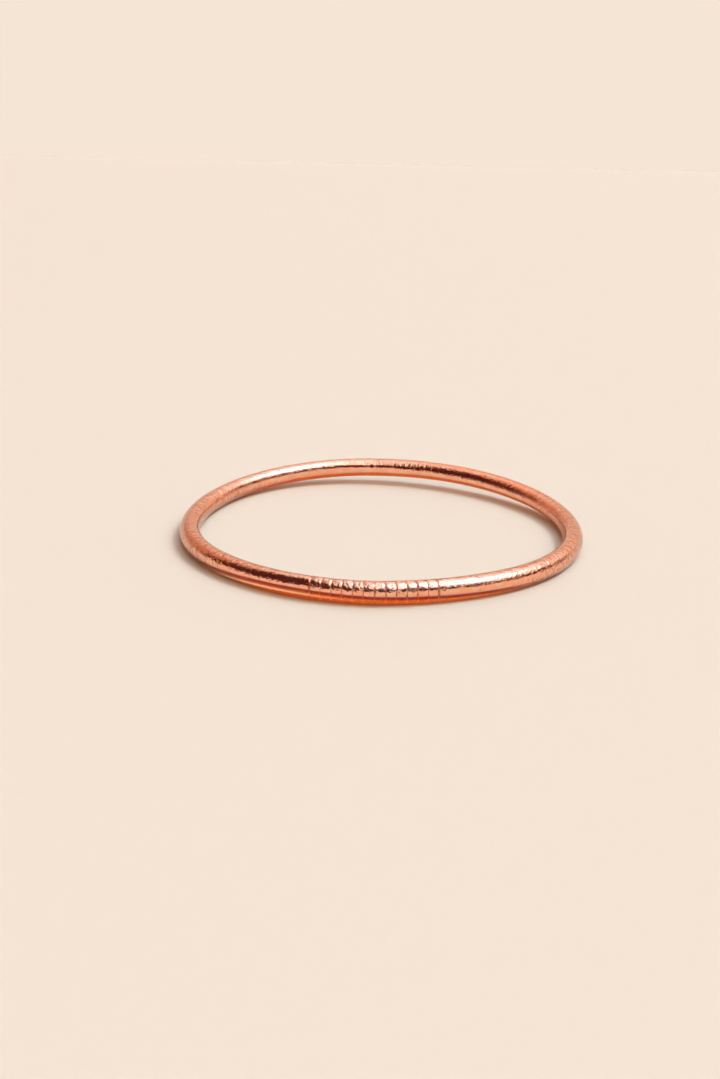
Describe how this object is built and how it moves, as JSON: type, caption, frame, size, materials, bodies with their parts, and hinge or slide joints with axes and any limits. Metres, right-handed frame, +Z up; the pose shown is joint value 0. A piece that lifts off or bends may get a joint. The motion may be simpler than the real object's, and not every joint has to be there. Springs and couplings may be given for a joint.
{
  "type": "tube bangle with copper leaf",
  "caption": "Thin bangle of clear plastic tube over a crinkled roll of copper leaf, its ends butted over a short ribbed joint plug.",
  "frame": {"origin": "on the surface that the bangle lies on, under the middle of the ring", "axes": "+Z up, along the axis of the wrist opening; -Y towards the joint; +X to the right as seen from the joint's side"},
  "size_m": [0.0716, 0.0714, 0.0052],
  "materials": {
    "clear_tube": "clear, glossy, smooth",
    "copper_leaf": "crinkled copper leaf, bright, fine creases across the roll",
    "ribbed_leaf": "copper leaf drawn over ribs, bright, with dark grooves"
  },
  "bodies": {
    "root": {"clear_tube": "clear_tube", "leaf_roll": "copper_leaf", "joint_plug": "ribbed_leaf"}
  },
  "joints": []
}
